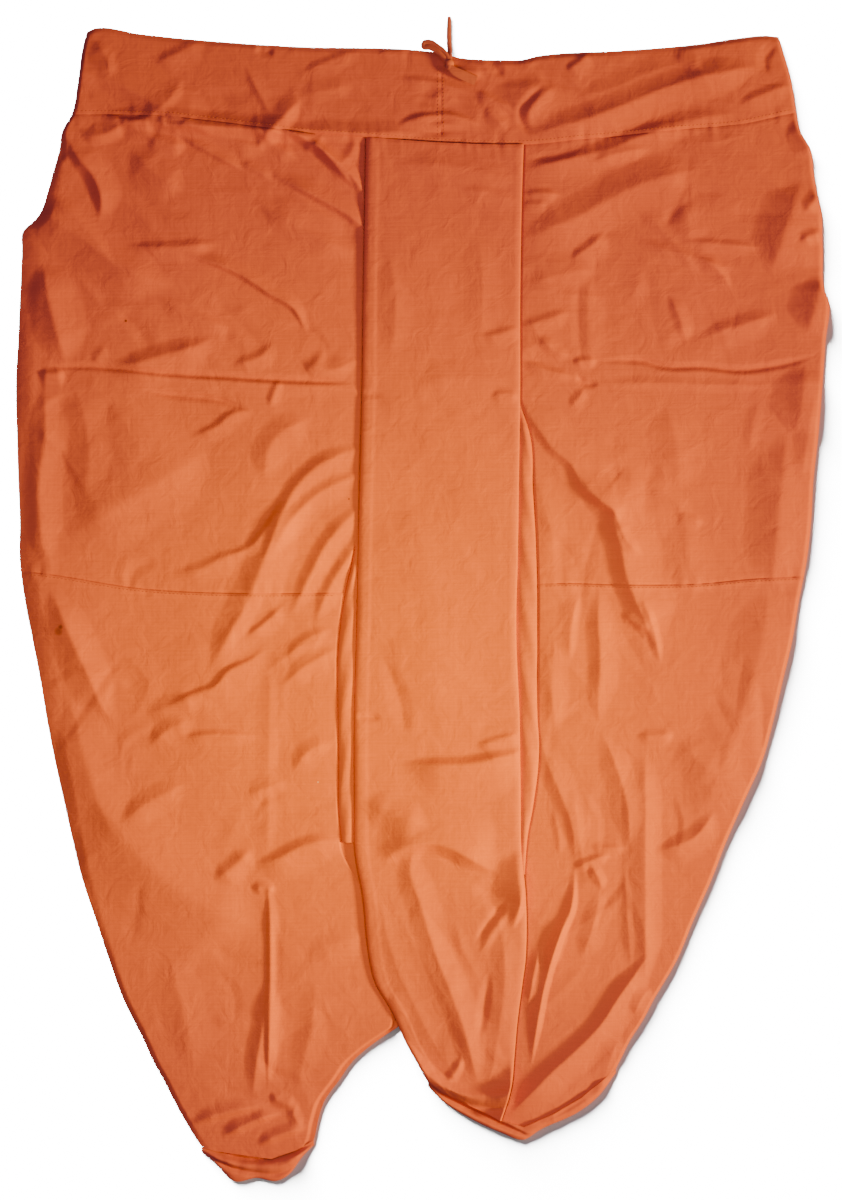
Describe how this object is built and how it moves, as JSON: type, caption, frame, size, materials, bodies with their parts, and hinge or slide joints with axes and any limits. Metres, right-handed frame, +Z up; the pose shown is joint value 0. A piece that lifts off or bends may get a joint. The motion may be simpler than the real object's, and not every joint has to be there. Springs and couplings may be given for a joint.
{
  "type": "dhoti pants laid flat",
  "caption": "Loose dhoti pants laid flat, front up: gathered legs, a centre box pleat, a deep waistband casing and a drawstring.",
  "frame": {"origin": "centre of the garment's outline on the surface it lies on, the drawstring left out", "axes": "+X to the wearer's left, +Y towards the waist, +Z up from the surface"},
  "size_m": [0.7322, 1.0487, 0.0131],
  "materials": {
    "orange_cloth": "plain-woven orange cotton blend, slight slub and a low sheen",
    "drawstring_cloth": "narrow folded and stitched strip of the same orange cloth"
  },
  "bodies": {
    "root": {"waistband_front_right": "orange_cloth", "waistband_front_left": "orange_cloth", "waistband_back": "orange_cloth", "leg_upper_front_right": "orange_cloth", "leg_upper_front_left": "orange_cloth", "leg_lower_front_right": "orange_cloth", "leg_lower_front_left": "orange_cloth", "leg_back_right": "orange_cloth", "leg_back_left": "orange_cloth", "pleat_panel": "orange_cloth", "underpleat_right": "orange_cloth", "underpleat_left": "orange_cloth", "ankle_hem_right": "orange_cloth", "ankle_hem_left": "orange_cloth", "drawstring_end_upright": "drawstring_cloth", "drawstring_end_flat": "drawstring_cloth", "drawstring_loop": "drawstring_cloth", "drawstring_knot": "drawstring_cloth"}
  },
  "joints": []
}
